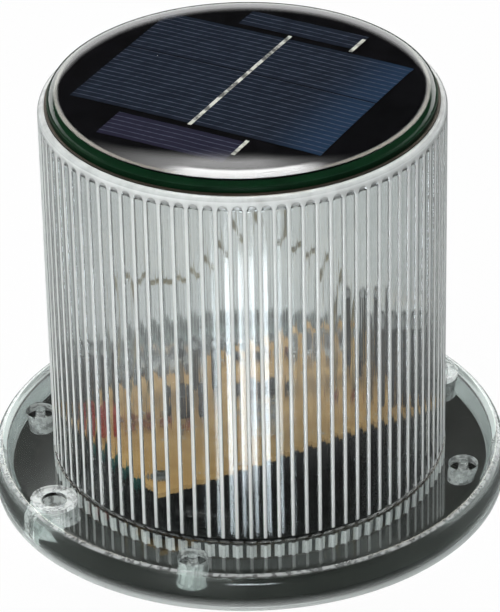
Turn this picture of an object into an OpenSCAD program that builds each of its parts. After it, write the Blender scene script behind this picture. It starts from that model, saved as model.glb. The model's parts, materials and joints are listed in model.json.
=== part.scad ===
// Solar barricade warning light: clear ribbed lens with a bolt-down flange, solar module on top
// The light stands on its flange, +Z up, with the two mounting holes on the X axis

/* [Lens] */
// Diameter of the lens over its ribs
lens_d = 120; // [118:0.5:122]
// Height of the rim that carries the solar module
lens_h = 127.6; // [126:0.1:132]
// Thickness of the clear wall
wall = 2.2; // [2:0.1:2.6]
// Number of ribs round the lens
rib_count = 90; // [80:2:96]
// Width of a rib where it meets the wall
rib_w = 1.3; // [1.1:0.1:1.6]
// Height of a rib above the wall
rib_out = 0.7; // [0.5:0.1:0.9]

/* [Flange] */
// Diameter of the flange
flange_d = 156; // [153:0.5:160]
// Height of the flange's top face
flange_h = 12; // [11:0.5:14]
// Thickness of the flange's top plate
plate = 3; // [2.5:0.1:3.5]
// Thickness of the skirt round the flange
skirt = 3.5; // [3:0.1:4]
// Distance between the two mounting holes
mount_spacing = 136; // [134:0.5:138]
// Diameter of a mounting hole
mount_hole_d = 7.5; // [6:0.5:8]
// Diameter of the boss round a mounting hole
mount_boss_d = 14; // [12:0.5:14.5]
// Diameter of a screw post
post_d = 9; // [8:0.5:10]

/* [Solar module] */
// Diameter of the green board
solar_d = 114.4; // [113:0.2:115]
// Height of the clear cap above the green board
cap_h = 3.8; // [3:0.1:5]
// Width of the large cells, along their fingers
cell_w = 82; // [76:1:83]
// Direction of the long silver ribbon, turned from +X
cell_angle = 31; // [0:1:90]

/* [Control board] */
// Length of the tan board
board_l = 95; // [93:0.5:95]
// Width of the tan board
board_w = 58; // [54:1:59]
// Height of the board's underside
board_z = 21.5; // [21.5:0.5:24]
// Number of light emitters
led_count = 3; // [2:1:3]

/* [Battery] */
// Diameter of a wrapped cell
cell_d = 14.2; // [13.6:0.1:14.2]
// Length of a cell
cell_l = 28.7; // [27:0.1:28.7]

/* [Base] */
// Thickness of the base plate
base_t = 3; // [2.8:0.1:3.2]
// Diameter of the recess round the power button
recess_d = 24; // [23:0.5:25]
// Depth of that recess
recess_h = 9; // [8.5:0.1:9]
// Travel of the power button
button_travel = 2; // [1:0.1:2]

/* [Hidden] */
$fn = 96;
eps = 0.01;
over = 1;

// Lens radii and levels
wall_r = lens_d / 2 - rib_out;
bore_r = wall_r - wall;
rim_r = lens_d / 2 - 2.1;
rim_bore_r = bore_r - 3.6;
flange_r = flange_d / 2;
flange_round = 2.5;
foot_fillet = 0.8;
rib_foot_z = flange_h + foot_fillet + 0.1;
rib_foot_end = 0.7;
flute_top_z = lens_h - 2.4;
flute_end = 1.7;
band_r = lens_d / 2 + 0.1;
band_h = 0.7;
band_top_z = flute_top_z + band_h;
rib_head_z = flute_top_z + band_h / 2;
rib_steps = 5;
rib_root = 0.4;
gasket_t = 0.8;
wall_foot_z = base_t + gasket_t;
mount_r = mount_spacing / 2;
seat_d = mount_boss_d - 1;
seat_h = 0.5;
post_r = 67;
post_angles = [45, 135, 225, 315];
pilot_r = 1.5;
pilot_top = 10;

// Solar module levels
seal_t = 0.5;
solar_t = 1.6;
backing_t = 0.4;
cell_t = 0.3;
ribbon_t = 0.2;
solar_z = lens_h + seal_t;
backing_z = solar_z + solar_t;
cell_z = backing_z + backing_t;
ribbon_z = cell_z + cell_t;
cap_z = ribbon_z + ribbon_t;
backing_r = solar_d / 2 - 3.4;
cap_r = solar_d / 2 - 0.2;
cap_dome = 0.7;
cap_roll = 16;
cap_steps = 11;
ribbon_w = 1.2;
// Cells as [u low, u high, v low, v high], u along the fingers and v along the long ribbon
big_u = [-cell_w / 2 - 1.2, cell_w / 2 - 1.2];
cells = [
    [big_u[0], big_u[1], -27, 7.2],
    [big_u[0], big_u[1], 7.8, 32],
    [-24, 17, -43, -30],
    [-20, 19, 35, 44]
];
// Ribbons as [u, v low, v high]
ribbons = [[-2, -28, 34], [17.6, -38, -29], [18.6, 33, 42]];

// Control board
board_t = 1.6;
board_top = board_z + board_t;
standoff_x = board_l / 2 - 4;
standoff_y = board_w / 2 - 8;
standoff_r = 3;
board_hole_r = 1.6;
screw_r = 1.4;
board_screw_l = 8;
board_screw_head_r = 2.8;
board_screw_head_h = 2;
// Corners with a screw, and corners with a plain peg
screw_corners = [[-1, -1], [1, 1]];
peg_corners = [[-1, 1], [1, -1]];

// Emitters point outwards at this height, from this distance to the axis
led_z = 34;
led_turn = 8;
led_back_r = 22;
led_r = 4;
led_l = 11;
led_rim_r = 4.7;
led_rim_l = 1.4;
led_lead_r = 0.35;
led_lead_gap = 2.54;
led_bend = 3;

// Capacitors as [x, y, diameter, height]
capacitors = [[-42.4, 21.5, 10, 22], [41, -21.5, 12.5, 27], [43, 3, 8, 24], [-6, 17.5, 8, 14]];
sleeve_t = 0.35;
// Resistors as [x, y, turn]
resistors = [[-33, 9, 0], [-33, 4, 0], [-24, -1, 90], [20, 19, 30], [26, -14, 90]];
resistor_r = 1.2;
resistor_l = 6.4;
lead_r = 0.3;
lead_span = 10;
lead_lift = 1.5;
film_pos = [-44.8, 10];
film_size = [4.5, 8.5, 8];
chip_pos = [6, 2];
chip_size = [9.6, 6.4, 3.4];
chip_pins = 4;
pin_pitch = 2.54;
transistor_places = [[39, -8], [31, 12]];
diode_pos = [12, 22];
inductor_pos = [-18, 6];

// Battery rows, two cells to each side of the switch
cell_x = [-39, -23.5, 23.5, 39];
wrap_t = 0.2;
tray_floor = 1.2;
tray_wall = 1.4;
tray_l = 2 * (cell_x[3] + cell_d / 2 + 0.4 + tray_wall);
end_room = 2.2;
tray_w = cell_l + 2 * (end_room + tray_wall);
tray_h = 13;
tray_z = base_t;
cell_axis_z = tray_z + tray_floor + cell_d / 2 + eps;
tab_t = 0.3;
tab_w = 5;

// Base and power button
base_r = flange_r - skirt - 0.4;
notch_r = mount_boss_d / 2 + 0.5;
recess_wall = 2;
recess_roof = 2;
relief_h = 0.8;
relief_in = recess_d / 2 + 6;
relief_out = 54;
base_screw_head_r = 3.6;
base_screw_head_h = 1.9;
base_screw_l = 8;
base_hole_r = 1.95;
roof_z = recess_h + recess_roof;
washer_t = 0.8;
bush_r = 4.4;
bush_z = recess_h - 2.6;
button_r = 2.65;
button_bore_r = 3;
button_tip_z = bush_z - button_travel;
switch_r = 6.5;
switch_z = roof_z + washer_t;
switch_top = board_z - 2.2;
collar_r = 4;
collar_room_r = 4.6;
collar_t = 1;
collar_z = switch_z + 1.2;
nut_af = 12;
nut_t = 2;

// Leads from the solar module to the board, as points along each wire
lead_d = 1.6;
lead_sides = 8;
lead_steps = 4;
left_route = [
    [4, -2, solar_z], [4, -2, 112], [3, -1, 94], [-4, 3, 79], [-14, 8, 69], [-24, 13, 67],
    [-31, 16, 70], [-35, 15, 58], [-34, 11, 42], [-31, 9, 30], [-30, 12.5, board_top]
];
right_route = [
    [10, -6, solar_z], [10, -6, 112], [8, -5, 95], [8, -5, 83], [13, -8, 78], [19, -11, 74],
    [23, -13, 65], [26, -14, 53], [28, -12, 42], [29, -9, 31], [29, -8, board_top]
];
// Short leads from the cell tabs to the board's underside
battery_d = 1.4;
battery_steps = 3;
battery_route = [[39, -15.5, 10], [39, -15.5, 15], [37, -17, 18.5], [36, -18, board_z]];

// Round wire along a smooth curve through given points
function curve_point(a, b, c, d, t) =
    0.5 * (2 * b + (c - a) * t + (2 * a - 5 * b + 4 * c - d) * t * t + (3 * b - a - 3 * c + d) * t * t * t);
function curve(p, steps) = let (n = len(p)) concat(
    [for (i = [0 : n - 2], s = [0 : steps - 1])
        curve_point(p[max(i - 1, 0)], p[i], p[i + 1], p[min(i + 2, n - 1)], s / steps)],
    [p[n - 1]]
);
function unit(v) = v / norm(v);
// End rings lie flat, square to the boards that the wires meet
function ring_tangent(p, i) = (i == 0 || i == len(p) - 1)
    ? [0, 0, sign(p[len(p) - 1][2] - p[0][2])]
    : unit(p[i + 1] - p[i - 1]);
function ring(c, t, r, n) = let (
    side = unit(cross(t, [0.35, 0.9, 0.02])),
    up = cross(side, t)
) [for (k = [0 : n - 1]) c + r * (cos(360 * k / n) * side + sin(360 * k / n) * up)];

module wire(route, steps, d) {
    path = curve(route, steps);
    last = len(path) - 1;
    n = lead_sides;
    points = [for (i = [0 : last])
        each ring(path[i], ring_tangent(path, i), d / 2, n)];
    sides = [for (i = [0 : last - 1], k = [0 : n - 1])
        let (a = i * n + k, b = i * n + (k + 1) % n) each [[a, b, b + n], [a, b + n, a + n]]];
    caps = concat(
        [for (k = [1 : n - 2]) [0, k + 1, k]],
        [for (k = [1 : n - 2]) [last * n, last * n + k, last * n + k + 1]]
    );
    polyhedron(points, concat(sides, caps));
}

// Points of a quarter ellipse from [r + w, z] up to [r, z + h]
function quarter(r, z, w, h, steps) =
    [for (i = [0 : steps]) [r + w * cos(90 * i / steps), z + h * sin(90 * i / steps)]];

// Outline of the ribbed wall: half-round ribs on a circle
function rib_outline() = [for (i = [0 : rib_count - 1], j = [0 : rib_steps])
    let (
        rise = 180 * j / rib_steps,
        turn = 360 * i / rib_count - (rib_w / 2 * cos(rise) / wall_r) * 180 / PI,
        r = wall_r - rib_root + (rib_out + rib_root) * sin(rise)
    ) [r * cos(turn), r * sin(turn)]];

module lens_silhouette() {
    rotate_extrude()
        polygon(concat(
            [[0, 0], [flange_r, 0], [flange_r, flange_h - flange_round]],
            quarter(flange_r - flange_round, flange_h - flange_round, flange_round, flange_round, 4),
            [for (i = [0 : 5]) [
                wall_r + foot_fillet * (1 - sin(90 * i / 5)),
                flange_h + foot_fillet * (1 - cos(90 * i / 5))
            ]],
            [[wall_r, flute_top_z - flute_end], [band_r, flute_top_z]],
            quarter(rim_r, band_top_z, band_r - rim_r, lens_h - band_top_z, 4),
            [[0, lens_h]]
        ));
}

module ribs() {
    intersection() {
        translate([0, 0, rib_foot_z])
            linear_extrude(rib_head_z - rib_foot_z)
                polygon(rib_outline());
        rotate_extrude()
            polygon([
                [0, rib_foot_z - over], [wall_r, rib_foot_z - over], [wall_r, rib_foot_z],
                [lens_d / 2 + eps, rib_foot_z + rib_foot_end], [lens_d / 2 + eps, rib_head_z + over], [0, rib_head_z + over]
            ]);
    }
}

// The ribs go on below the flange's top plate, down to the gasket
module hidden_ribs() {
    translate([0, 0, wall_foot_z])
        linear_extrude(flange_h - plate / 2 - wall_foot_z)
            difference() {
                polygon(rib_outline());
                circle(wall_r - wall / 2);
            }
}

module lens_cavity() {
    ledge_z = lens_h - 5;
    rotate_extrude()
        polygon([
            [0, -over], [bore_r, -over], [bore_r, ledge_z], [rim_bore_r, ledge_z + 3],
            [rim_bore_r, lens_h + over], [0, lens_h + over]
        ]);
}

module flange_channel() {
    rotate_extrude()
        polygon([
            [bore_r - over, -over], [flange_r - skirt, -over], [flange_r - skirt, flange_h - plate],
            [wall_r, flange_h - plate], [wall_r, wall_foot_z], [bore_r - over, wall_foot_z]
        ]);
}

module at_mounts() {
    for (side = [-1, 1])
        translate([side * mount_r, 0, 0])
            children();
}

module at_posts() {
    for (a = post_angles)
        rotate(a)
            translate([post_r, 0, 0])
                children();
}

module lens_housing() {
    color("gainsboro", 0.5)
        difference() {
            union() {
                difference() {
                    union() {
                        lens_silhouette();
                        ribs();
                    }
                    lens_cavity();
                    flange_channel();
                }
                hidden_ribs();
                at_mounts() cylinder(h = flange_h - plate / 2, d = mount_boss_d);
                at_posts() translate([0, 0, base_t]) cylinder(h = flange_h - plate / 2 - base_t, d = post_d);
            }
            at_mounts() translate([0, 0, -over]) cylinder(h = flange_h + 2 * over, d = mount_hole_d);
            at_mounts() translate([0, 0, flange_h - seat_h]) cylinder(h = over, d = seat_d);
            at_posts() translate([0, 0, base_t - over]) cylinder(h = pilot_top - base_t + over, r = pilot_r);
        }
}

module solar_seal() {
    color("#20221f")
        translate([0, 0, lens_h])
            difference() {
                cylinder(h = seal_t, r = rim_r + 0.1);
                translate([0, 0, -over]) cylinder(h = seal_t + 2 * over, r = rim_bore_r + 0.6);
            }
}

module solar_board() {
    color("#0f4a2c")
        translate([0, 0, solar_z])
            cylinder(h = solar_t, d = solar_d);
}

module solar_backing() {
    color("#0a0b0c")
        translate([0, 0, backing_z])
            cylinder(h = backing_t, r = backing_r);
}

// Turns the cell frame, so that v lies along the long ribbon
module in_cell_frame() {
    rotate(cell_angle - 90)
        children();
}

module solar_cells() {
    color("#1b2238")
        in_cell_frame()
            for (c = cells)
                translate([c[0], c[2], cell_z])
                    cube([c[1] - c[0], c[3] - c[2], cell_t]);
}

module cell_busbars() {
    color("#c6cac2")
        in_cell_frame()
            for (b = ribbons)
                translate([b[0] - ribbon_w / 2, b[1], ribbon_z])
                    cube([ribbon_w, b[2] - b[1], ribbon_t]);
}

// Poured resin: a slow dome, and a steep roll down to the board near the edge
module solar_encapsulant() {
    crown = cap_h - cap_dome;
    color("white", 0.35)
        rotate_extrude()
            polygon(concat(
                [[0, cap_z], [backing_r, cap_z], [backing_r, backing_z]],
                [for (i = [0 : cap_steps]) let (u = pow(cos(90 * i / cap_steps), 0.3)) [
                    u * cap_r,
                    backing_z + crown * sqrt(1 - pow(u, cap_roll)) + cap_dome * (1 - u * u)
                ]]
            ));
}

module panel_leads() {
    color("#b58a45") {
        wire(left_route, lead_steps, lead_d);
        wire(right_route, lead_steps, lead_d);
    }
}

module at_corners(corners) {
    for (c = corners)
        translate([c[0] * standoff_x, c[1] * standoff_y, 0])
            children();
}

module control_board() {
    color("#a8834a")
        difference() {
            translate([-board_l / 2, -board_w / 2, board_z]) cube([board_l, board_w, board_t]);
            at_corners(concat(screw_corners, peg_corners))
                translate([0, 0, board_z - over]) cylinder(h = board_t + 2 * over, r = board_hole_r);
        }
}

module board_standoffs() {
    peg_r = board_hole_r - 0.2;
    color("#2b2d2e") {
        at_corners(screw_corners)
            difference() {
                translate([0, 0, base_t]) cylinder(h = board_z - base_t, r = standoff_r);
                translate([0, 0, board_z - board_screw_l]) cylinder(h = board_screw_l + over, r = screw_r + 0.05);
            }
        at_corners(peg_corners) {
            translate([0, 0, base_t]) cylinder(h = board_z - base_t, r = standoff_r);
            translate([0, 0, board_z]) cylinder(h = board_t - 0.1, r = peg_r);
        }
    }
}

// Pan-head screw with a cross recess, its head standing on z = 0
module pan_screw(shank_r, shank_l, head_r, head_h) {
    slot_w = head_r * 0.32;
    slot_l = head_r * 1.2;
    difference() {
        union() {
            translate([0, 0, -shank_l]) cylinder(h = shank_l + eps, r = shank_r);
            rotate_extrude() polygon(concat([[0, 0]], quarter(0, 0, head_r, head_h, 6)));
        }
        for (turn = [0, 90])
            rotate(turn)
                translate([-slot_l / 2, -slot_w / 2, head_h * 0.45])
                    cube([slot_l, slot_w, head_h]);
    }
}

module board_screws() {
    color("#d5d6d2")
        at_corners(screw_corners)
            translate([0, 0, board_top])
                pan_screw(screw_r, board_screw_l, board_screw_head_r, board_screw_head_h);
}

module at_leds() {
    for (i = [0 : led_count - 1])
        rotate(led_turn + 360 * i / led_count)
            translate([led_back_r, 0, led_z])
                children();
}

module led_lenses() {
    body = led_l - led_r;
    color("white", 0.5)
        at_leds()
            rotate([0, 90, 0])
                rotate_extrude()
                    polygon(concat(
                        [[0, 0], [led_rim_r, 0], [led_rim_r, led_rim_l], [led_r, led_rim_l]],
                        quarter(0, body, led_r, led_r, 8)
                    ));
}

module led_leads() {
    drop = led_z - board_top;
    color("#c9c9c4")
        at_leds()
            for (side = [-1, 1])
                translate([0, side * led_lead_gap / 2, 0]) {
                    translate([-led_bend, 0, 0]) rotate([0, 90, 0]) cylinder(h = led_bend, r = led_lead_r);
                    translate([-led_bend, 0, 0]) sphere(r = led_lead_r);
                    translate([-led_bend, 0, -drop]) cylinder(h = drop, r = led_lead_r);
                }
}

module capacitor_cans() {
    color("#b9bcba")
        for (c = capacitors)
            translate([c[0], c[1], board_top])
                cylinder(h = c[3] - sleeve_t, r = c[2] / 2 - sleeve_t);
}

module capacitor_sleeves() {
    color("#272b30")
        for (c = capacitors)
            translate([c[0], c[1], board_top])
                difference() {
                    cylinder(h = c[3], d = c[2]);
                    translate([0, 0, -over]) cylinder(h = c[3] - sleeve_t + over, r = c[2] / 2 - sleeve_t);
                    cylinder(h = c[3] + over, r = c[2] / 2 - 3 * sleeve_t);
                }
}

module film_capacitor() {
    edge = 0.8;
    inset = [film_size[0] / 2 - edge, film_size[1] / 2 - edge];
    color("#b3261f")
        translate([film_pos[0], film_pos[1], board_top])
            linear_extrude(film_size[2]) {
                square([film_size[0], film_size[1] - 2 * edge], center = true);
                square([film_size[0] - 2 * edge, film_size[1]], center = true);
                for (sx = [-1, 1], sy = [-1, 1])
                    translate([sx * inset[0], sy * inset[1]]) circle(edge);
            }
}

// Puts a lying component at its place, its axis along X
module at_resistors() {
    for (r = resistors)
        translate([r[0], r[1], board_top + lead_lift])
            rotate(r[2])
                children();
}

// Barrel with swollen ends, its axis along X
module barrel(r, l) {
    end = l * 0.22;
    rotate([0, 90, 0])
        translate([0, 0, -l / 2])
            rotate_extrude()
                polygon([
                    [0, 0], [r * 0.7, 0], [r, end * 0.35], [r, end * 0.8], [r * 0.84, end], [r * 0.84, l - end],
                    [r, l - end * 0.8], [r, l - end * 0.35], [r * 0.7, l], [0, l]
                ]);
}

module resistor_bodies() {
    color("#9a5a3c")
        at_resistors()
            barrel(resistor_r, resistor_l);
}

// Two straight legs that bend down to the board from a body of length l
module lead_pair(l) {
    reach = (lead_span - l) / 2;
    for (side = [-1, 1])
        translate([side * l / 2, 0, 0]) {
            rotate([0, 90 * side, 0]) cylinder(h = reach, r = lead_r);
            translate([side * reach, 0, 0]) sphere(r = lead_r);
            translate([side * reach, 0, -lead_lift]) cylinder(h = lead_lift, r = lead_r);
        }
}

module chip_legs() {
    leg = [0.5, 0.3, 2];
    for (i = [0 : chip_pins - 1], side = [-1, 1])
        translate([
            chip_pos[0] + (i - (chip_pins - 1) / 2) * pin_pitch - leg[0] / 2,
            chip_pos[1] + side * (chip_size[1] / 2 + leg[1] / 2) - leg[1] / 2,
            board_top
        ])
            cube(leg);
}

module transistor_legs() {
    for (t = transistor_places, i = [-1 : 1])
        translate([t[0] + i * pin_pitch / 2, t[1], board_top])
            cylinder(h = lead_span / 4, r = lead_r);
}

module component_leads() {
    color("#c9c9c4") {
        at_resistors() lead_pair(resistor_l);
        translate([diode_pos[0], diode_pos[1], board_top + lead_lift]) lead_pair(5.2);
        chip_legs();
        transistor_legs();
    }
}

module control_chip() {
    foot = 0.5;
    color("#1c1d1f")
        translate([chip_pos[0], chip_pos[1], board_top + foot])
            difference() {
                translate([0, 0, chip_size[2] / 2]) cube(chip_size, center = true);
                translate([-chip_size[0] / 2, 0, chip_size[2] - 0.4]) cylinder(h = over, r = 0.9);
            }
}

module transistors() {
    body_r = 2.4;
    color("#1c1d1f")
        for (t = transistor_places)
            translate([t[0], t[1], board_top + lead_span / 4])
                difference() {
                    cylinder(h = 4.8, r = body_r);
                    translate([-body_r, 1.2, -over]) cube([2 * body_r, body_r, 4.8 + 2 * over]);
                }
}

module blocking_diode() {
    color("#232427")
        translate([diode_pos[0], diode_pos[1], board_top + lead_lift])
            rotate([0, 90, 0])
                cylinder(h = 5.2, r = 1.35, center = true);
}

module inductor() {
    color("#35322f")
        translate([inductor_pos[0], inductor_pos[1], board_top])
            rotate_extrude()
                polygon([[0, 0], [4.2, 0], [4.2, 1], [3.3, 1.4], [3.3, 6.2], [4.2, 6.6], [4.2, 7.6], [0, 7.6]]);
}

// Puts a cell's axis along Y
module at_cells() {
    for (x = cell_x)
        translate([x, 0, cell_axis_z])
            rotate([90, 0, 0])
                children();
}

module battery_cans() {
    color("#b8bab6")
        at_cells()
            cylinder(h = cell_l, r = cell_d / 2 - wrap_t, center = true);
}

module battery_wraps() {
    color("#0d5a58")
        at_cells()
            difference() {
                cylinder(h = cell_l - 0.2, d = cell_d, center = true);
                cylinder(h = cell_l + over, r = cell_d / 2 - wrap_t, center = true);
            }
}

// Nickel strip across the cell ends from x0 to x1, at the end of the cells that faces +Y or -Y
module tab(x0, x1, end) {
    translate([(x0 + x1) / 2, end * (cell_l + tab_t) / 2, cell_axis_z])
        cube([x1 - x0 + tab_w, tab_t, tab_w], center = true);
}

module cell_tabs() {
    color("#d0d0c8") {
        tab(cell_x[0], cell_x[1], 1);
        tab(cell_x[2], cell_x[3], 1);
        tab(cell_x[1], cell_x[2], -1);
        tab(cell_x[0], cell_x[0], -1);
        tab(cell_x[3], cell_x[3], -1);
    }
}

module battery_leads() {
    color("#a8231d")
        wire(battery_route, battery_steps, battery_d);
    color("#1d1d1d")
        wire([for (p = battery_route) [-p[0], p[1], p[2]]], battery_steps, battery_d);
}

module battery_tray() {
    pocket = [cell_x[3] - cell_x[2] + cell_d + 0.8, tray_w - 2 * tray_wall, tray_h];
    mid = (cell_x[2] + cell_x[3]) / 2;
    lug_r = standoff_r + 2;
    color("#141618")
        difference() {
            union() {
                translate([-tray_l / 2, -tray_w / 2, tray_z]) cube([tray_l, tray_w, tray_h]);
                at_corners(concat(screw_corners, peg_corners))
                    translate([0, 0, tray_z]) cylinder(h = tray_floor, r = lug_r);
            }
            for (side = [-1, 1])
                translate([side * mid, 0, tray_z + tray_floor + tray_h / 2])
                    cube([pocket[0], pocket[1], tray_h], center = true);
            translate([0, 0, tray_z - over]) cylinder(h = tray_h + 2 * over, r = recess_d / 2 + recess_wall + 0.6);
            translate([0, -(cell_l + tab_t) / 2, cell_axis_z + tray_h / 2 - tab_w / 2 - 0.5])
                cube([2 * cell_x[2], 3 * tab_t, tray_h], center = true);
            at_corners(concat(screw_corners, peg_corners))
                translate([0, 0, tray_z - over]) cylinder(h = tray_h + 2 * over, r = standoff_r + 0.1);
        }
}

module base_plate() {
    well_r = recess_d / 2 + recess_wall;
    color("#3c3e3b")
        difference() {
            union() {
                cylinder(h = base_t, r = base_r);
                cylinder(h = roof_z, r = well_r);
            }
            translate([0, 0, -over]) cylinder(h = recess_h + over, d = recess_d);
            cylinder(h = roof_z + over, r = bush_r + 0.1);
            at_mounts() translate([0, 0, -over]) cylinder(h = base_t + 2 * over, r = notch_r);
            at_posts() translate([0, 0, -over]) cylinder(h = base_t + 2 * over, r = base_hole_r);
            at_posts() translate([0, 0, -eps])
                cylinder(h = base_screw_head_h + eps, r1 = base_screw_head_r + 0.1, r2 = base_hole_r);
            difference() {
                translate([0, 0, -over]) cylinder(h = relief_h + over, r = relief_out);
                translate([0, 0, -2 * over]) cylinder(h = relief_h + 4 * over, r = relief_in);
            }
        }
}

module base_gasket() {
    color("#1a1a1a")
        translate([0, 0, base_t])
            difference() {
                cylinder(h = gasket_t, r = wall_r + 0.4);
                translate([0, 0, -over]) cylinder(h = gasket_t + 2 * over, r = bore_r - 0.6);
            }
}

module base_screws() {
    slot_w = 0.9;
    slot_l = 3.6;
    color("#c4c5c1")
        at_posts()
            translate([0, 0, 0.1])
                difference() {
                    union() {
                        cylinder(h = base_screw_l, r = pilot_r - 0.05);
                        cylinder(h = base_screw_head_h - 0.2, r1 = base_screw_head_r - 0.1, r2 = base_hole_r - 0.2);
                    }
                    for (turn = [0, 90])
                        rotate(turn)
                            translate([-slot_l / 2, -slot_w / 2, -over]) cube([slot_l, slot_w, 0.9 + over]);
                }
}

module switch_body() {
    color("#1b1c1e")
        difference() {
            union() {
                translate([0, 0, bush_z]) cylinder(h = switch_z - bush_z + eps, r = bush_r);
                translate([0, 0, switch_z]) cylinder(h = switch_top - switch_z, r = switch_r);
            }
            translate([0, 0, bush_z - over]) cylinder(h = collar_z - bush_z + 2 * over, r = button_bore_r);
            translate([0, 0, collar_z]) cylinder(h = switch_top - 1.2 - collar_z, r = collar_room_r);
        }
}

module switch_washer() {
    color("#262626")
        translate([0, 0, roof_z])
            difference() {
                cylinder(h = washer_t, r = switch_r + 1.2);
                translate([0, 0, -over]) cylinder(h = washer_t + 2 * over, r = bush_r + 0.1);
            }
}

module switch_nut() {
    color("#bfc0bc")
        translate([0, 0, recess_h - nut_t])
            difference() {
                cylinder(h = nut_t, d = nut_af / cos(30), $fn = 6);
                translate([0, 0, -over]) cylinder(h = nut_t + 2 * over, r = bush_r + 0.05);
            }
}

module switch_terminals() {
    color("#c9a45a")
        for (side = [-1, 1])
            translate([side * 3, 0, (switch_top + board_z) / 2])
                cube([0.6, 2.4, board_z - switch_top], center = true);
}

module switch_button() {
    crown = 0.6;
    color("#a7211b")
        rotate_extrude()
            polygon(concat(
                [[0, button_tip_z], [button_r - crown, button_tip_z]],
                [for (i = [0 : 3]) [
                    button_r - crown + crown * sin(30 * i),
                    button_tip_z + crown * (1 - cos(30 * i))
                ]],
                [
                    [button_r, collar_z + 0.3], [collar_r, collar_z + 0.3],
                    [collar_r, collar_z + 0.3 + collar_t], [0, collar_z + 0.3 + collar_t]
                ]
            ));
}

lens_housing();
solar_seal();
solar_board();
solar_backing();
solar_cells();
cell_busbars();
solar_encapsulant();
panel_leads();
control_board();
board_standoffs();
board_screws();
led_lenses();
led_leads();
capacitor_cans();
capacitor_sleeves();
film_capacitor();
resistor_bodies();
component_leads();
control_chip();
transistors();
blocking_diode();
inductor();
battery_cans();
battery_wraps();
cell_tabs();
battery_leads();
battery_tray();
base_plate();
base_gasket();
base_screws();
switch_body();
switch_washer();
switch_nut();
switch_terminals();
switch_button();
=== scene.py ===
import json
import math

import bmesh
import bpy
import numpy as np
from mathutils import Matrix, Vector


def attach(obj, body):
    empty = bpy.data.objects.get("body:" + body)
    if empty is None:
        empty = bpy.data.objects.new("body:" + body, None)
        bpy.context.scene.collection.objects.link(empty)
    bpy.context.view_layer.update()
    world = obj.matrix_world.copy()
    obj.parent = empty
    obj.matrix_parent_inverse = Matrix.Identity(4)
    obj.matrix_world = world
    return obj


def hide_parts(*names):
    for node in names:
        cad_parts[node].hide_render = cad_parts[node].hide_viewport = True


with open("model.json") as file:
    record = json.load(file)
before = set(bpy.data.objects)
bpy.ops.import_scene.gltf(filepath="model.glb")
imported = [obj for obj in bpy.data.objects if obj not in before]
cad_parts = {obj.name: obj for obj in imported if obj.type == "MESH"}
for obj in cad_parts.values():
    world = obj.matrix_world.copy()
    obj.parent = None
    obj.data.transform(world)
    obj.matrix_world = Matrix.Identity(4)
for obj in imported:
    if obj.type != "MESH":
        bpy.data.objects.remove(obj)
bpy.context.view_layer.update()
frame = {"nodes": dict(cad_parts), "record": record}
nodes = frame["nodes"]
mm = 0.001
print("frame loaded with", len(nodes), "nodes")


# One output of a node. A sum, product or comparison with it adds a Math node.
class Flow:
    def __init__(self, finish, socket):
        self.finish, self.socket = finish, socket

    def calc(self, operation, first, second):
        return self.finish.node("ShaderNodeMath", {"operation": operation}, {0: first, 1: second})

    def __add__(self, other):
        return self.calc("ADD", self, other)

    def __radd__(self, other):
        return self.calc("ADD", other, self)

    def __sub__(self, other):
        return self.calc("SUBTRACT", self, other)

    def __rsub__(self, other):
        return self.calc("SUBTRACT", other, self)

    def __mul__(self, other):
        return self.calc("MULTIPLY", self, other)

    def __rmul__(self, other):
        return self.calc("MULTIPLY", other, self)

    def __truediv__(self, other):
        return self.calc("DIVIDE", self, other)

    def __pow__(self, other):
        return self.calc("POWER", self, other)

    def __lt__(self, other):
        return self.calc("LESS_THAN", self, other)

    def __gt__(self, other):
        return self.calc("GREATER_THAN", self, other)

    def wave(self):
        return self.calc("SINE", self, 0.0)

    def swing(self):
        return self.calc("COSINE", self, 0.0)

    def turned(self, other):
        return self.calc("ARCTAN2", self, other)

    def size(self):
        return self.calc("ABSOLUTE", self, 0.0)

    def most(self, other):
        return self.calc("MAXIMUM", self, other)


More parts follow.
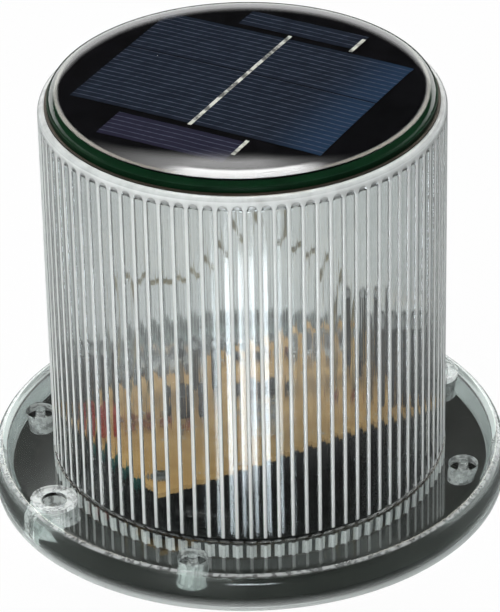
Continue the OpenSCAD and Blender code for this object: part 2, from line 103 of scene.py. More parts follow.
# A material, or the world, built node by node.
class Finish:
    def __init__(self, name, owner=None):
        self.data = owner or bpy.data.materials.new(name)
        self.data.use_nodes = True
        self.tree = self.data.node_tree
        self.tree.nodes.clear()

    def node(self, kind, settings=None, sockets=None, output=0):
        made = self.tree.nodes.new(kind)
        for key, value in (settings or {}).items():
            setattr(made, key, value)
        for key, value in (sockets or {}).items():
            if isinstance(value, Flow):
                self.tree.links.new(value.socket, made.inputs[key])
            elif value is not None:
                made.inputs[key].default_value = value
        return Flow(self, made.outputs[output])

    # Object coordinates, turned about Z and scaled
    def place(self, scale=(1, 1, 1), turn=0.0):
        where = self.node("ShaderNodeTexCoord", output="Object")
        return self.node("ShaderNodeMapping", {}, {0: where, 2: (0, 0, math.radians(turn)), 3: scale})

    # The x, y and z of a vector
    def parts(self, where):
        split = self.node("ShaderNodeSeparateXYZ", {}, {0: where})
        return [Flow(self, out) for out in split.socket.node.outputs]

    def noise(self, scale, detail=3.0, where=None):
        return self.node("ShaderNodeTexNoise", {}, {
            "Vector": where or self.place(), "Scale": scale, "Detail": detail, "Roughness": 0.55})

    # 0 below low, 1 above high, smooth in between
    def rise(self, value, low, high):
        return self.node("ShaderNodeMapRange", {"interpolation_type": "SMOOTHSTEP"},
                         {0: value, 1: low, 2: high})

    def blend(self, share, first, second):
        first, second = [c if isinstance(c, Flow) else (*c, 1) for c in (first, second)]
        return self.node("ShaderNodeMix", {"data_type": "RGBA"}, {0: share, 6: first, 7: second}, 2)

    def bump(self, height, strength, depth):
        return self.node("ShaderNodeBump", {}, {"Height": height, "Strength": strength, "Distance": depth})

    def shader(self, **sockets):
        names = dict(base="Base Color", rough="Roughness", metal="Metallic", ior="IOR", normal="Normal",
                     clear="Transmission Weight", coat="Coat Weight", tint="Specular Tint",
                     level="Specular IOR Level")
        named = {}
        for key, value in sockets.items():
            if key in ("base", "tint") and not isinstance(value, Flow):
                value = (*value, 1)
            named[names[key]] = value
        return self.node("ShaderNodeBsdfPrincipled", {}, named)

    def mixed(self, share, first, second):
        return self.node("ShaderNodeMixShader", {}, {0: share, 1: first, 2: second})

    def done(self, surface, kind="ShaderNodeOutputMaterial"):
        self.tree.links.new(surface.socket, self.tree.nodes.new(kind).inputs["Surface"])
        return self.data


# A closed surface from rows of points. Columns run round and meet; rows meet too, or end in two poles.
def faced(grid, poles=None):
    rows, columns = grid.shape[:2]
    index = np.arange(rows * columns).reshape(rows, columns)
    across = np.roll(index, -1, axis=1)
    points = grid.reshape(-1, 3)
    if poles is None:
        up, upAcross = np.roll(index, -1, axis=0), np.roll(across, -1, axis=0)
        quads = np.stack([index, across, upAcross, up], -1).reshape(-1, 4)
        fans = np.zeros((0, 3), int)
    else:
        quads = np.stack([index[:-1], across[:-1], across[1:], index[1:]], -1).reshape(-1, 4)
        first, last = rows * columns, rows * columns + 1
        fans = np.concatenate([
            np.stack([np.full(columns, first), across[0], index[0]], -1),
            np.stack([np.full(columns, last), index[-1], across[-1]], -1)])
        points = np.concatenate([points, np.asarray(poles, float).reshape(2, 3)])
    # the signed volume says whether the faces look outwards
    triangles = np.concatenate([quads[:, [0, 1, 2]], quads[:, [0, 2, 3]], fans])
    a, b, c = (points[triangles[:, k]] for k in range(3))
    if np.einsum("ij,ij->i", a, np.cross(b, c)).sum() < 0:
        quads, fans = quads[:, ::-1], fans[:, ::-1]
    return points, quads, fans


def meshOf(name, *solids):
    starts = np.cumsum([0] + [len(points) for points, quads, fans in solids])
    faces = []
    for start, (points, quads, fans) in zip(starts, solids):
        faces += (quads + start).tolist() + (fans + start).tolist()
    mesh = bpy.data.meshes.new(name)
    mesh.from_pydata(np.concatenate([points for points, quads, fans in solids]) * mm, [], faces)
    mesh.shade_smooth()
    return mesh


def piece(name, mesh, material, sharp=32):
    mesh.set_sharp_from_angle(angle=math.radians(sharp))
    made = bpy.data.objects.new(name, mesh)
    bpy.context.scene.collection.objects.link(made)
    if material:
        made.data.materials.append(material)
    return made


# Points on an elliptic arc, from one angle to another
def arc(centre, across, up, start, end, steps):
    a = np.radians(np.linspace(start, end, steps))
    return np.c_[centre[0] + across * np.cos(a), centre[1] + up * np.sin(a)]


# Each (radius, height) of a profile goes round the Z axis
def spun(profile, turns):
    a = np.linspace(0, 2 * np.pi, turns, endpoint=False)
    r, z = profile[:, :1], profile[:, 1:]
    return np.stack([r * np.cos(a), r * np.sin(a), np.broadcast_to(z, (len(profile), turns))], -1)


# Upright cylinders in one helper object, each (x, y, radius, low, high)
def cylinders(name, rows, turns=72):
    return piece(name, meshOf(name, *[
        faced(spun(np.array([[radius, low], [radius, high]]), turns) + [x, y, 0],
              [[x, y, low], [x, y, high]])
        for x, y, radius, low, high in rows]), None)


# Joins or cuts a piece with a helper solid, and leaves a plain mesh
def merge(target, helper, operation):
    step = target.modifiers.new("merge", "BOOLEAN")
    step.operation, step.solver, step.object = operation, "MANIFOLD", helper
    depsgraph = bpy.context.evaluated_depsgraph_get()
    result = bpy.data.meshes.new_from_object(target.evaluated_get(depsgraph))
    target.modifiers.clear()
    target.data = result
    bpy.data.objects.remove(helper)


# Points that lie closer than the distance become one
def weld(mesh, distance):
    work = bmesh.new()
    work.from_mesh(mesh)
    bmesh.ops.remove_doubles(work, verts=work.verts, dist=distance)
    bmesh.ops.dissolve_degenerate(work, edges=work.edges, dist=distance)
    work.to_mesh(mesh)
    work.free()


# Lens: sizes in millimetres. A pair says where a haze, or a painted highlight, starts and where it is full.
lens = dict(
    wallRadius=59.3, boreRadius=57.1, ribs=90, ribWidth=1.3, ribRise=0.7, ribFoot=12.9, footEnd=0.7,
    bulge=0.075, fluteTop=125.7, fluteRamp=1.0, rimRadius=57.9, rimBore=53.5, top=127.6,
    flangeRadius=78, flangeTop=12, flangeRound=3.2, footFillet=0.8, underside=9, skirtInside=74.5,
    wallFoot=3.8, postCircle=67, postRadius=4.5, pilotRadius=1.5, mountPlace=68, bossRadius=7, boreHole=3.75,
    seatRadius=6.5, seatDepth=0.5, weld=0.002,
    crestHazeAndHighlight=(0.3, 0.55), rimHazeAndLight=(123.4, 124.8), lipHaze=(0.2, 4.5), upperHaze=(28, 75),
    paintedEdgeHighlight=(75.6, 76.1), paintedEdgeHighlightEnd=(76.5, 77.1), paintedEdgeHighlightDrop=2.2, ior=1.49,
    ridge=0.02, gleam=0.036, gleamRise=0.14, gleamFoot=45, gleamFlare=0.00368, polish=0.2)


# Clear polycarbonate: polished walls, with a whitish haze on the rib crests, round the rim and over the
# frosted screw posts.
# That haze is partly painted light: it paints in the crests' bright lines, the rim's bright band and the
# posts' glints.
# Milky bars on the wall under the flange are a painted reflection of the ribs, and a milky line on the
# flange's outer round is a painted highlight. A faint gloss with a stronger bump draws a bright line in each
# flute, and another lets the flat of the flange mirror the ribs.
def clearPolycarbonate(d):
    f = Finish("clear_polycarbonate")
    x, y, z = f.parts(f.place((1000, 1000, 1000)))
    radius = (x * x + y * y) ** 0.5
    beyond = radius - d["wallRadius"]
    comb = (y.turned(x) * d["ribs"]).swing()
    # zones of the moulding
    ribbed, outside = beyond < d["ribRise"] + 0.2, beyond > -0.1
    shaft = ribbed * (z > d["flangeTop"])
    flute = shaft * outside
    # painted highlight, in part: the whitish haze on the rib crests stands in for their bright lines
    crest = f.rise(beyond, *d["crestHazeAndHighlight"]) * ribbed * (z > d["ribFoot"])
    # painted reflection of the ribs: milky bars, one per rib, on the wall hidden under the flange
    hidden = f.rise(comb, -0.8, -0.45) * outside * ribbed * (z < d["underside"] - 0.1)
    # painted light, in part: the haze brightens the band round the top of the wall, standing in for the light
    # refracted there
    rim = f.rise(z, *d["rimHazeAndLight"])
    upper = f.rise(z, *d["upperHaze"])
    corner = d["postCircle"] / math.sqrt(2)
    postX, postY = x.size() - corner, y.size() - corner
    # painted glints, in part: the posts are made frosted and white, standing in for the bright glints of the
    # clear posts
    post = ((postX * postX + postY * postY) ** 0.5 < d["postRadius"] + 0.1) * (z < d["underside"])
    bossX = x.size() - d["mountPlace"]
    bossAway = (bossX * bossX + y * y) ** 0.5
    boss = (bossAway < d["bossRadius"] + 0.1) * (bossAway > d["boreHole"] + 0.3)
    lip = (1 - f.rise(z, *d["lipHaze"])) * (radius > d["skirtInside"] + 1)
    edge = f.rise(radius, d["skirtInside"] - 1.5, d["skirtInside"] + 0.5)
    frost = edge * (radius < d["skirtInside"] + 0.2) * (z < d["underside"] + 0.1)
    # painted highlight: a milky line along the top of the flange's outer round
    paintedEdgeHighlight = f.rise(radius, *d["paintedEdgeHighlight"]) * (1 - f.rise(radius, *d["paintedEdgeHighlightEnd"]))
    paintedEdgeHighlight = paintedEdgeHighlight * (z > d["flangeTop"] - d["paintedEdgeHighlightDrop"])
    flat = d["flangeRadius"] - d["flangeRound"]
    plate = (z > d["flangeTop"] - 0.05) * (beyond > d["ribRise"] + 0.3) * (radius < flat)
    # unevenness: soft clouds, small facets and streaks along the ribs
    haze = f.rise(f.noise(90, 2), 0.35, 0.75)
    facet = f.rise(f.noise(420, 3), 0.42, 0.58)
    uneven = f.rise(f.noise(140, 3, f.place((1, 1, 0.12))), 0.3, 0.7)
    # the clear body, with its two faint glosses
    ridge = flute * f.rise(-1 * comb, 0.75, 1.0)
    walls = f.shader(base=f.blend(haze, (0.74, 0.775, 0.77), (0.78, 0.81, 0.805)),
                     rough=0.015 + shaft * (0.03 + 0.03 * haze), ior=d["ior"], clear=1.0,
                     tint=(0.7, 0.7, 0.7), normal=f.bump(ridge, 1.0, d["ridge"] * mm))
    foot = (d["gleamFoot"] - z).most(0)
    swell = flute * (d["gleamRise"] * (0.5 - 0.5 * comb) + d["gleamFlare"] * foot * foot)
    gleam = f.shader(base=(0.92, 0.97, 0.98), rough=0.21, metal=1.0, normal=f.bump(swell, 1.0, mm))
    walls = f.mixed(flute * d["gleam"], walls, gleam)
    polish = f.shader(base=(0.9, 0.95, 0.94), rough=0.06, metal=1.0)
    walls = f.mixed(plate * d["polish"], walls, polish)
    skirt = f.shader(base=f.blend(haze, (0.64, 0.725, 0.7), (0.69, 0.775, 0.75)), rough=0.02 + 0.3 * frost,
                     ior=d["ior"], clear=1.0)
    # the strongest haze at each place; it also carries the painted highlights, glints and rib reflection
    hazeAndPaintedLight = crest * (0.8 + 0.18 * uneven - 0.16 * upper)
    for share in (rim * (0.38 + 0.17 * uneven), post * (0.35 + 0.6 * facet), boss * (0.2 + 0.35 * facet),
                  lip * 0.5, hidden * (0.6 + 0.35 * uneven), flute * (0.1 + 0.06 * uneven) * upper,
                  paintedEdgeHighlight * (0.2 + 0.3 * facet)):
        hazeAndPaintedLight = hazeAndPaintedLight.most(share)
    milky = f.shader(base=(0.89, 0.92, 0.905), rough=0.35 + 0.1 * haze, level=0.5)
    return f.done(f.mixed(hazeAndPaintedLight, f.mixed(edge, walls, skirt), milky))


# Poured resin: nearly colourless, with a slow ripple
def clearResin():
    f = Finish("clear_resin")
    haze = f.rise(f.noise(60, 2), 0.3, 0.8)
    ripple = f.bump(f.noise(45, 1), 0.08, 0.0006)
    return f.done(f.shader(base=f.blend(haze, (0.93, 0.95, 0.92), (0.97, 0.98, 0.96)),
                           rough=0.01 + 0.02 * haze, ior=1.5, clear=1.0, normal=ripple))


# Cloudy resin of the emitters
def ledResin():
    f = Finish("led_resin")
    cloud = f.noise(300, 3)
    return f.done(f.shader(base=f.blend(cloud, (0.72, 0.74, 0.74), (0.85, 0.87, 0.88)),
                           rough=0.1 + 0.1 * cloud, ior=1.5, clear=0.85))


# Two tones of one colour in soft patches, with a fine grain in gloss and bump
def moulded(name, low, high, rough, coat=0.0, level=0.5):
    f = Finish(name)
    tone = f.rise(f.noise(120, 4), 0.3, 0.7)
    fine = f.noise(900, 2)
    return f.done(f.shader(base=f.blend(tone, low, high), rough=rough - 0.06 + 0.12 * fine, level=level,
                           coat=coat, normal=f.bump(fine, 0.25, 0.03 * mm)))


# Drawn or plated metal: streaks along one axis
def plated(name, low, high, rough=0.25, along=(1, 1, 0.1)):
    f = Finish(name)
    streak = f.noise(1500, 3, f.place(along))
    stain = f.rise(f.noise(200, 3), 0.35, 0.75)
    return f.done(f.shader(base=f.blend(stain, high, low), metal=1.0, rough=rough + 0.15 * streak * stain,
                           normal=f.bump(streak, 0.15, 0.00002)))


# Cells: their turn about Z in degrees, and the spacing and unevenness of the fingers in millimetres
cellPlan = dict(turn=-59, fingerPitch=2.31, wobble=0.8)


# Dark blue silicon with fine silver fingers across the cells, and a painted blue sheen towards one end
def silicon(cell):
    f = Finish("silicon")
    u, v = f.parts(f.place((1000, 1000, 1000), -cell["turn"]))[:2]
    comb = ((v + cell["wobble"] * f.noise(70, 2)) * (2 * math.pi / cell["fingerPitch"])).wave()
    finger = f.rise(comb, 0.84, 0.99)
    patchy = f.rise(f.noise(160, 4, f.place((1, 3, 1), -cell["turn"])), 0.3, 0.7)
    # painted sheen: the cells turn bluer towards one end
    sheen = f.rise(u + 8 * f.noise(30, 2), 22, 46)
    ground = f.blend(patchy, (0.0085, 0.0115, 0.019), (0.0115, 0.016, 0.026))
    ground = f.blend(sheen * 0.8, ground, (0.014, 0.033, 0.07))
    ground = f.blend((v < -28) * 0.6, ground, (0.02, 0.016, 0.034))
    colour = f.blend(finger * (0.4 + 0.5 * patchy), ground, (0.085, 0.095, 0.135))
    return f.done(f.shader(base=colour, rough=0.5 - 0.1 * finger, level=0.02))


# Tinned ribbon with lumps of solder, dull in patches
def silverRibbon(cell):
    f = Finish("silver_ribbon")
    lump = f.noise(420, 3, f.place((1, 0.6, 1), -cell["turn"]))
    dull = f.rise(lump, 0.38, 0.6)
    return f.done(f.shader(base=f.blend(dull, (0.13, 0.13, 0.12), (0.62, 0.63, 0.57)), metal=0.15,
                           rough=0.5, normal=f.bump(lump, 0.5, 0.0003), level=0.1))


# Paper laminate: warm brown, mottled, with solder pads
def tanBoard():
    f = Finish("tan_board")
    mottle = f.rise(f.noise(140, 5), 0.3, 0.72)
    fibre = f.noise(500, 3, f.place((0.25, 1.6, 1)))
    pads = f.node("ShaderNodeTexVoronoi", {"feature": "F1"}, {
        "Vector": f.place(), "Scale": 190, "Randomness": 0.85})
    dot = 1 - f.rise(pads, 0.09, 0.15)
    colour = f.blend(mottle, (0.56, 0.325, 0.11), (0.73, 0.46, 0.175))
    colour = f.blend(0.3 * fibre, colour, (0.78, 0.54, 0.22))
    colour = f.blend(dot * 0.8, colour, (0.55, 0.53, 0.46))
    return f.done(f.shader(base=colour, rough=0.55 - 0.2 * dot, normal=f.bump(fibre, 0.2, 0.00003)))


# Green lacquer over copper, a little darker in patches
def greenBoard():
    f = Finish("green_board")
    patch = f.rise(f.noise(110, 4), 0.3, 0.7)
    fibre = f.noise(800, 2)
    return f.done(f.shader(base=f.blend(patch, (0.0014, 0.013, 0.0045), (0.0024, 0.02, 0.007)),
                           rough=0.4 + 0.1 * fibre, level=0.1))


# Base plate: grey outside the lens; inside the lens, round the battery compartment, painted shade makes it
# nearly black
def baseGrey():
    f = Finish("grey_abs")
    x, y, z = f.parts(f.place((1000, 1000, 1000)))
    # painted shade: the plate inside the lens is darkened to nearly black, where the board and cells shade it
    bayShade = 1 - f.rise((x * x + y * y) ** 0.5, 56.5, 58)
    tone = f.rise(f.noise(60, 4), 0.3, 0.7)
    fine = f.noise(900, 2)
    grey = f.blend(tone, (0.021, 0.022, 0.019), (0.034, 0.035, 0.031))
    return f.done(f.shader(base=f.blend(bayShade * (z > 1.0), grey, (0.005, 0.0052, 0.005)),
                           rough=0.44 + 0.12 * fine, level=0.05, normal=f.bump(fine, 0.25, 0.03 * mm)))


# Cell wrap: a film that shines, with soft folds round the cell
def tealWrap():
    f = Finish("teal_wrap")
    fold = f.noise(260, 3, f.place((1, 0.2, 1)))
    tone = f.rise(fold, 0.3, 0.7)
    return f.done(f.shader(base=f.blend(tone, (0.005, 0.085, 0.075), (0.012, 0.16, 0.14)), rough=0.28,
                           coat=0.2, normal=f.bump(fold, 0.3, 0.0001)))


# Red on one side and black on the other
def leadInsulation():
    f = Finish("lead_insulation")
    x = f.parts(f.place())[0]
    tone = f.noise(600, 2)
    red = f.blend(tone, (0.30, 0.012, 0.01), (0.42, 0.02, 0.015))
    black = f.blend(tone, (0.012, 0.012, 0.013), (0.022, 0.022, 0.023))
    return f.done(f.shader(base=f.blend(x > 0.0, black, red), rough=0.35 + 0.1 * tone))


# Enamelled wire, between olive and dull amber
def amberWire():
    f = Finish("amber_wire")
    tone = f.rise(f.noise(220, 3), 0.3, 0.7)
    return f.done(f.shader(base=f.blend(tone, (0.2, 0.17, 0.09), (0.36, 0.31, 0.18)),
                           rough=0.3 + 0.1 * tone, coat=0.4))


finishes = {
    "clear_polycarbonate": clearPolycarbonate(lens),
    "clear_resin": clearResin(),
    "led_resin": ledResin(),
    "dark_rubber": moulded("dark_rubber", (0.022, 0.017, 0.011), (0.042, 0.033, 0.022), 0.7),
    "green_board": greenBoard(),
    "black_sheet": moulded("black_sheet", (0.0016, 0.0016, 0.002), (0.0032, 0.0032, 0.004), 0.6, level=0.02),
    "silicon": silicon(cellPlan),
    "silver_ribbon": silverRibbon(cellPlan),
    "amber_wire": amberWire(),
    "tan_board": tanBoard(),
    "black_nylon": moulded("black_nylon", (0.006, 0.006, 0.006), (0.011, 0.011, 0.011), 0.5, level=0.1),
    "bright_steel": plated("bright_steel", (0.52, 0.52, 0.5), (0.72, 0.72, 0.7)),
    "tinned_wire": plated("tinned_wire", (0.5, 0.5, 0.47), (0.7, 0.7, 0.66), 0.3),
    "can_aluminium": plated("can_aluminium", (0.55, 0.55, 0.55), (0.75, 0.75, 0.75), 0.3),
    "black_sleeve": moulded("black_sleeve", (0.012, 0.014, 0.017), (0.024, 0.028, 0.033), 0.3, coat=0.2),
    "red_epoxy": moulded("red_epoxy", (0.30, 0.018, 0.012), (0.45, 0.04, 0.025), 0.25, coat=0.4),
    "resistor_coat": moulded("resistor_coat", (0.2, 0.06, 0.03), (0.34, 0.13, 0.06), 0.35),
    "chip_black": moulded("chip_black", (0.01, 0.01, 0.011), (0.02, 0.02, 0.021), 0.55),
    "ferrite": moulded("ferrite", (0.025, 0.022, 0.02), (0.05, 0.044, 0.038), 0.6),
    "cell_can": plated("cell_can", (0.45, 0.45, 0.43), (0.68, 0.68, 0.65), 0.3, (1, 0.1, 1)),
    "teal_wrap": tealWrap(),
    "nickel_strip": plated("nickel_strip", (0.5, 0.49, 0.45), (0.7, 0.69, 0.64), 0.25, (0.1, 1, 1)),
    "lead_insulation": leadInsulation(),
    "black_abs": moulded("black_abs", (0.004, 0.0045, 0.005), (0.008, 0.0085, 0.009), 0.5, level=0.1),
    "grey_abs": baseGrey(),
    "terminal_brass": plated("terminal_brass", (0.45, 0.3, 0.1), (0.62, 0.45, 0.18), 0.28),
    "red_plastic": moulded("red_plastic", (0.32, 0.01, 0.008), (0.45, 0.018, 0.012), 0.3, coat=0.2),
}
for row in frame["record"]["subparts"]:
    nodes[row["node"]].material_slots[0].material = finishes[row["material_slot"]]
print("finishes set on", len(nodes), "nodes")


# Lens: a closed profile goes round the axis. Along the shaft each column stands out by a half ellipse where
# a rib is and by a shallow parabola between two ribs. At its head each flute rises to the ribs' height,
# in the middle later than at its sides, so that it ends in an arch.
def makeLens(d):
    wall, bore, top, skirt = d["wallRadius"], d["boreRadius"], d["flangeTop"], d["flangeRadius"]
    crest, head, lid = wall + d["ribRise"], d["fluteTop"], d["top"]
    end = np.radians(np.linspace(0, 90, 6))
    outer = np.concatenate([
        [[skirt - 0.3, 0], [skirt, 0.3], [skirt, top - d["flangeRound"] - 0.4]],
        arc((skirt - d["flangeRound"], top - d["flangeRound"]), d["flangeRound"], d["flangeRound"], 0, 90, 9),
        [[skirt - d["flangeRound"] - 0.3, top], [wall + d["footFillet"] + 0.2, top]],
        arc((wall + d["footFillet"], top + d["footFillet"]), d["footFillet"], d["footFillet"], 270, 180, 6)])
    footZ = d["ribFoot"] + d["footEnd"] * (1 - np.cos(end))
    headZ = np.linspace(head - 3, head, 11)
    shaft = np.concatenate([footZ, [40, 70, 100], headZ])
    rim = np.concatenate([
        arc((d["rimRadius"], head), crest - d["rimRadius"], lid - head, 10, 90, 6),
        [[d["rimBore"] + 0.3, lid], [d["rimBore"], lid - 0.3], [d["rimBore"], lid - 2],
         [bore, lid - 5], [bore, 70], [bore, d["wallFoot"] + 0.2], [bore + 0.2, d["wallFoot"]],
         [wall - 0.2, d["wallFoot"]]]])
    hidden = np.array([[wall, d["wallFoot"]], [wall, d["wallFoot"] + 0.2], [wall, d["underside"] - 0.2],
                       [wall, d["underside"]]])
    channel = np.array([[crest + 0.4, d["underside"]], [d["skirtInside"] - 1.2, d["underside"]],
                        [d["skirtInside"] - 0.35, d["underside"] - 0.35],
                        [d["skirtInside"], d["underside"] - 1.2], [d["skirtInside"], 0.3],
                        [d["skirtInside"] + 0.3, 0]])
    profile = np.concatenate([outer, np.c_[np.full(len(shaft), wall), shaft], rim, hidden, channel])
    stand = np.concatenate([np.zeros(len(outer)), np.sin(end), np.ones(len(shaft) - 6), np.zeros(len(rim)),
                            np.ones(len(hidden)), np.zeros(len(channel))])
    # one rib's columns: nine over the bead, five over the flute beside it
    lean = np.radians(np.linspace(0, 180, 9))
    pitch = 2 * np.pi * wall / d["ribs"]
    span = np.linspace(-1, 1, 7)[1:-1]
    gap = pitch - d["ribWidth"]
    offset = np.concatenate([-d["ribWidth"] / 2 * np.cos(lean), pitch / 2 + span * gap / 2])
    bead = np.concatenate([d["ribRise"] * np.sin(lean), d["bulge"] * (1 - span ** 2)])
    archZ = head - gap / 2 * (1 - np.sqrt(1 - np.concatenate([np.ones(9), span]) ** 2))
    filled = np.clip(1 + (profile[:, 1:] - archZ) / d["fluteRamp"], 0, 1)
    filled = filled ** 2 * (3 - 2 * filled) * (stand[:, None] == 1)
    angle = (np.arange(d["ribs"])[:, None] * pitch + offset).ravel() / wall
    raised = stand[:, None] * bead + filled * (d["ribRise"] - bead)
    radius = profile[:, :1] + np.tile(raised, d["ribs"])
    height = np.broadcast_to(profile[:, 1:], radius.shape)
    grid = np.stack([radius * np.cos(angle), radius * np.sin(angle), height], -1)
    made = piece("lensHousing", meshOf("lensHousing", faced(grid)), None)
    corner, mount, deep = d["postCircle"] / math.sqrt(2), d["mountPlace"], d["underside"] + 1.5
    posts = [(sx * corner, sy * corner) for sx in (-1, 1) for sy in (-1, 1)]
    mounts = [(-mount, 0), (mount, 0)]
    merge(made, cylinders("bosses", [(x, y, d["bossRadius"], 0, deep) for x, y in mounts]
                          + [(x, y, d["postRadius"], 3, deep) for x, y in posts]), "UNION")
    merge(made, cylinders("bores", [(x, y, d["pilotRadius"], 2, 10) for x, y in posts]
                          + [(x, y, d["boreHole"], -1, top + 1) for x, y in mounts]), "DIFFERENCE")
    merge(made, cylinders("seats", [(x, y, d["seatRadius"], top - d["seatDepth"], top + 1)
                                    for x, y in mounts]), "DIFFERENCE")
    weld(made.data, d["weld"] * mm)
    made.data.shade_smooth()
    made.data.set_sharp_from_angle(angle=math.radians(32))
    made.data.materials.clear()
    made.data.materials.append(finishes["clear_polycarbonate"])
    return made


lensPiece = makeLens(lens)
lensPiece.visible_shadow = False  # lamps light what is inside
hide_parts("lens_housing")
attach(lensPiece, "light")
print("lens made,", len(lensPiece.data.polygons), "faces")

# Cap: poured resin. Its height falls from the middle by a slow dome and, near the rim, by a steep roll:
# crown times the root of one less the sixteenth power of the share of the radius.
cap = dict(radius=57, base=129.7, crown=3.1, dome=0.7, roll=16, edge=2.0, sunk=0.2)


def makeCap(d):
    t = np.linspace(0.02, 1, 72)
    share = np.sin(t * np.pi / 2) ** 0.6
    rolled = d["crown"] * (1 - share ** d["roll"]) ** (1 / d["edge"])
    height = d["base"] + rolled + d["dome"] * (1 - share ** 2)
    low = d["base"] - d["sunk"]
    profile = np.concatenate([np.c_[share * d["radius"], height],
                              [[d["radius"], low], [d["radius"] * 0.5, low]]])
    crown = d["base"] + d["crown"] + d["dome"]
    return meshOf("solarCap", faced(spun(profile, 192), [[0, 0, crown], [0, 0, low]]))


capPiece = piece("solarCap", makeCap(cap), finishes["clear_resin"])
capPiece.visible_shadow = False
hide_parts("solar_encapsulant")
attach(capPiece, "light")
print("cap made")

# Leads: a round section along a smooth curve through the same points as the solids
leads = dict(
    left=[(4, -2, 128.1), (4, -2, 112), (3, -1, 94), (-4, 3, 79), (-14, 8, 69), (-24, 13, 67),
          (-31, 16, 70), (-35, 15, 58), (-34, 11, 42), (-31, 9, 30), (-30, 12.5, 23.1)],
    right=[(10, -6, 128.1), (10, -6, 112), (8, -5, 95), (8, -5, 83), (13, -8, 78), (19, -11, 74),
           (23, -13, 65), (26, -14, 53), (28, -12, 42), (29, -9, 31), (29, -8, 23.1)],
    panelDiameter=1.6,
    battery=[(39, -15.5, 10), (39, -15.5, 15), (37, -17, 18.5), (36, -18, 21.5)],
    batteryDiameter=1.4)


# Cubic curve through all points: each stretch leans on its two neighbours
def throughPoints(points, steps):
    p = np.asarray(points, float)
    a, b, c, d = np.vstack([p[:1], p[:-2]]), p[:-1], p[1:], np.vstack([p[2:], p[-1:]])
    t = np.linspace(0, 1, steps, endpoint=False)[None, :, None]
    a, b, c, d = (k[:, None, :] for k in (a, b, c, d))
    bend, twist = 2 * a - 5 * b + 4 * c - d, 3 * b - a - 3 * c + d
    line = 0.5 * (2 * b + (c - a) * t + bend * t ** 2 + twist * t ** 3)
    return np.vstack([line.reshape(-1, 3), p[-1:]])


# A circle carried along the path, square to it, with the ends lying flat
def tube(name, points, diameter, steps=10, sides=12):
    path = throughPoints(points, steps)
    along = np.gradient(path, axis=0)
    along[[0, -1]] = [0, 0, np.sign(path[-1, 2] - path[0, 2])]
    along /= np.linalg.norm(along, axis=1, keepdims=True)
    side = np.cross(along, [0.35, 0.9, 0.02])
    side /= np.linalg.norm(side, axis=1, keepdims=True)
    up = np.cross(side, along)
    a = np.linspace(0, 2 * np.pi, sides, endpoint=False)[None, :, None]
    ring = path[:, None] + diameter / 2 * (np.cos(a) * side[:, None] + np.sin(a) * up[:, None])
    return meshOf(name, faced(ring, [path[0], path[-1]]))


for side in ("left", "right"):
    lead = piece(side + "PanelLead", tube(side + "PanelLead", leads[side], leads["panelDiameter"]),
                 finishes["amber_wire"], 60)
    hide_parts("panel_leads")
    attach(lead, "light")
for side, name in ((1, "redBatteryLead"), (-1, "blackBatteryLead")):
    route = [(side * x, y, z) for x, y, z in leads["battery"]]
    lead = piece(name, tube(name, route, leads["batteryDiameter"]), finishes["lead_insulation"], 60)
    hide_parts("battery_leads")
    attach(lead, "light")
print("leads made")

# Stage: a pale floor that looks white, a soft studio and the photograph's camera. Lengths are in
# millimetres and angles in degrees. A pair says where a brightness starts to change and where it is done.
studio = dict(
    ahead=(-0.5, -0.866, 0), white=0.95, dimmed=0.75, floorRadius=9000, floorTop=-0.3, floorBottom=-20,
    floorDim=0.92, stripApex=25, stripAngle=7.5, stripSoft=0.011, strip=18.5,
    stripColour=(0.9, 0.98, 1.03), stripReach=(98, 130), stripEnd=(240, 252),
    lift=30.0, dark=0.015, room=0.2, warm=(1, 0.94, 0.82),
    box=13.0, boxLean=(6.5, 9.5), boxEnd=(22, 26), boxSide=(18, 32),
    glow=3.8, glowLean=(0.5, 2.8), glowTurn=10, glowSide=(12, 54),
    wing=6.0, wingLean=(15, 19), wingSide=(50, 130),
    skyline=(0.28, 0.38), horizon=0.7, horizonBack=(-0.3, 0.3), rear=1.7, rearBack=(0.45, 0.85))


# A bright strip lies on the floor in front and shows only in mirror reflections, where the rest is dim
def makeFloor(d):
    top, bottom = d["floorTop"], d["floorBottom"]
    grid = spun(np.array([[d["floorRadius"], top], [d["floorRadius"], bottom]]), 64)
    f = Finish("pale_floor")
    path = f.node("ShaderNodeLightPath", output="Is Camera Ray")
    rays = path.socket.node.outputs
    mirror = Flow(f, rays["Is Glossy Ray"]) * Flow(f, rays["Is Reflection Ray"])
    where = f.place()
    x, y = f.parts(where)[:2]
    away = f.node("ShaderNodeVectorMath", {"operation": "SUBTRACT"}, {
        0: where, 1: Vector(d["ahead"]) * d["stripApex"] * mm})
    unit = f.node("ShaderNodeVectorMath", {"operation": "NORMALIZE"}, {0: away})
    facing = f.node("ShaderNodeVectorMath", {"operation": "DOT_PRODUCT"}, {0: unit, 1: d["ahead"]}, 1)
    edge = math.cos(math.radians(d["stripAngle"]))
    radius = (x * x + y * y) ** 0.5 / mm
    reach = f.rise(radius, *d["stripReach"]) * (1 - f.rise(radius, *d["stripEnd"]))
    strip = f.rise(facing, edge - d["stripSoft"], edge + d["stripSoft"]) * reach
    pale = f.blend(f.noise(3), (0.8, 0.8, 0.8), (0.83, 0.83, 0.83))
    paper = f.node("ShaderNodeBsdfDiffuse", {}, {
        "Color": f.blend(mirror * d["floorDim"], pale, (0.02, 0.02, 0.02))})
    straight = Flow(f, rays["Diffuse Depth"]) < 0.5
    bounced = Flow(f, rays["Glossy Depth"]) > 0.5
    glow = f.node("ShaderNodeEmission", {}, {
        "Color": f.blend(mirror, (1, 1, 1), d["stripColour"]),
        "Strength": 1.0 - bounced * d["dimmed"] + mirror * d["strip"]})
    seen = path.most(Flow(f, rays["Is Transmission Ray"])).most(mirror * strip) * straight * d["white"]
    mesh = meshOf("floor", faced(grid, [[0, 0, top], [0, 0, bottom]]))
    piece("floor", mesh, f.done(f.mixed(seen, paper, glow)))


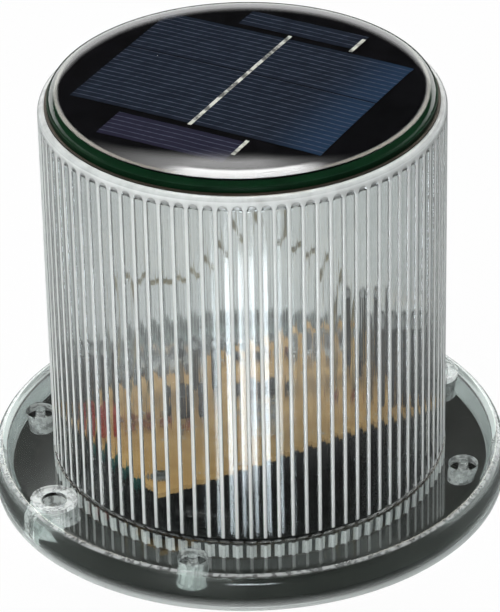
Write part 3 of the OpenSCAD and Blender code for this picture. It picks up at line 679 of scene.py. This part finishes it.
# Bright near the horizon and dim overhead for reflections, with a soft glow behind and above
def makeWorld(d):
    world = bpy.data.worlds.new("studio")
    bpy.context.scene.world = world
    f = Finish("studio", world)
    where = f.node("ShaderNodeTexCoord", output="Generated")
    x, y, z = f.parts(where)
    path = f.node("ShaderNodeLightPath", output="Is Camera Ray")
    rays = path.socket.node.outputs
    back = x * -d["ahead"][0] - y * d["ahead"][1]
    across = y * d["ahead"][0] - x * d["ahead"][1]
    # how far a surface leans, and to which side, when it mirrors this direction to the front
    toward, up = math.cos(math.radians(d["lift"])) - back, z + math.sin(math.radians(d["lift"]))
    lean = ((across * across + toward * toward) ** 0.5).turned(up) * (180 / math.pi)
    turn = across.turned(toward) * (180 / math.pi)
    side = turn.size()
    above = 1 - f.rise(lean, *d["boxEnd"])
    inner = 1 - f.rise(side, *d["boxSide"])
    wide = 1 - f.rise((turn + d["glowTurn"]).size(), *d["glowSide"])
    glow = wide * f.rise(lean, *d["glowLean"]) * d["glow"]
    box = above * (inner * f.rise(lean, *d["boxLean"]) * d["box"] + glow)
    wing = above * f.rise(lean, *d["wingLean"]) * (1 - f.rise(side, *d["wingSide"]))
    rear = d["horizon"] * f.rise(back, *d["horizonBack"]) + d["rear"] * f.rise(back, *d["rearBack"])
    level = d["dark"] + (1 - f.rise(z, *d["skyline"])) * rear + box.most(wing * d["wing"])
    warm = f.blend(inner, d["warm"], (1, 1, 1))
    room = f.node("ShaderNodeBackground", {}, {"Color": (0.93, 0.96, 1, 1), "Strength": d["room"]})
    sweep = f.node("ShaderNodeBackground", {}, {"Color": f.blend(wing, (1, 1, 1), warm), "Strength": level})
    bounced = Flow(f, rays["Glossy Depth"]) > 0.5
    white = f.node("ShaderNodeBackground", {}, {
        "Color": (1, 1, 1, 1), "Strength": 1.0 - bounced * d["dimmed"]})
    mirror = Flow(f, rays["Is Glossy Ray"]) * Flow(f, rays["Is Reflection Ray"])
    seen = path.most(Flow(f, rays["Is Transmission Ray"])) * (Flow(f, rays["Diffuse Depth"]) < 0.5)
    f.done(f.mixed(seen, f.mixed(mirror, room, sweep), white), "ShaderNodeOutputWorld")


# A lamp that no mirror shows
def softbox(name, place, aim, size, power):
    lamp = bpy.data.lights.new(name, "AREA")
    lamp.shape, lamp.size, lamp.size_y, lamp.energy = "RECTANGLE", size[0] * mm, size[1] * mm, power
    made = bpy.data.objects.new(name, lamp)
    made.location = Vector(place) * mm
    made.rotation_euler = (Vector(aim) - Vector(place)).to_track_quat("-Z", "Y").to_euler()
    made.visible_camera = made.visible_glossy = False
    bpy.context.scene.collection.objects.link(made)


# A place about the light: azimuth from the camera's side, height above the floor
def around(azimuth, elevation, distance, turn=-30):
    a, e = math.radians(azimuth + turn), math.radians(elevation)
    flat = distance * math.cos(e)
    return (flat * math.sin(a), -flat * math.cos(a), distance * math.sin(e) + 60)


makeFloor(studio)
makeWorld(studio)
# Each lamp: azimuth, height and distance, the height that it aims at, its size and its power
lamps = dict(
    topBack=((180, 58, 1200), 130, (400, 360), 6.3),
    topFront=((0, 76, 1100), 100, (250, 250), 3.3),
    overhead=((180, 80, 1400), 60, (1200, 900), 1.5),
    leftFront=((-48, 42, 1300), 60, (700, 1000), 3.4),
    rightFront=((52, 50, 1500), 60, (700, 1000), 0.8),
    lowFront=((-22, 9, 1300), 60, (600, 300), 4.5))
for name, (place, aim, size, power) in lamps.items():
    softbox(name, around(*place), (0, 0, aim), size, power)

view = dict(place=(-517.3, -895.9, 674.0), aim=(0.9, -0.5, 57.2), roll=1.18, lens=235.3)


def makeCamera(d):
    camera = bpy.data.objects.new("camera", bpy.data.cameras.new("camera"))
    bpy.context.scene.collection.objects.link(camera)
    ahead = (Vector(d["aim"]) - Vector(d["place"])).normalized()
    right = ahead.cross(Vector((0, 0, 1))).normalized()
    up = right.cross(ahead)
    c, s = math.cos(math.radians(d["roll"])), math.sin(math.radians(d["roll"]))
    axes = Matrix((right * c - up * s, right * s + up * c, -ahead)).transposed().to_4x4()
    camera.matrix_world = Matrix.Translation(Vector(d["place"]) * mm) @ axes
    camera.data.lens, camera.data.sensor_width = d["lens"], 36
    camera.data.clip_start, camera.data.clip_end = 0.05, 60
    bpy.context.scene.camera = camera


makeCamera(view)
bpy.context.scene.view_settings.view_transform = "Standard"
print("stage set")
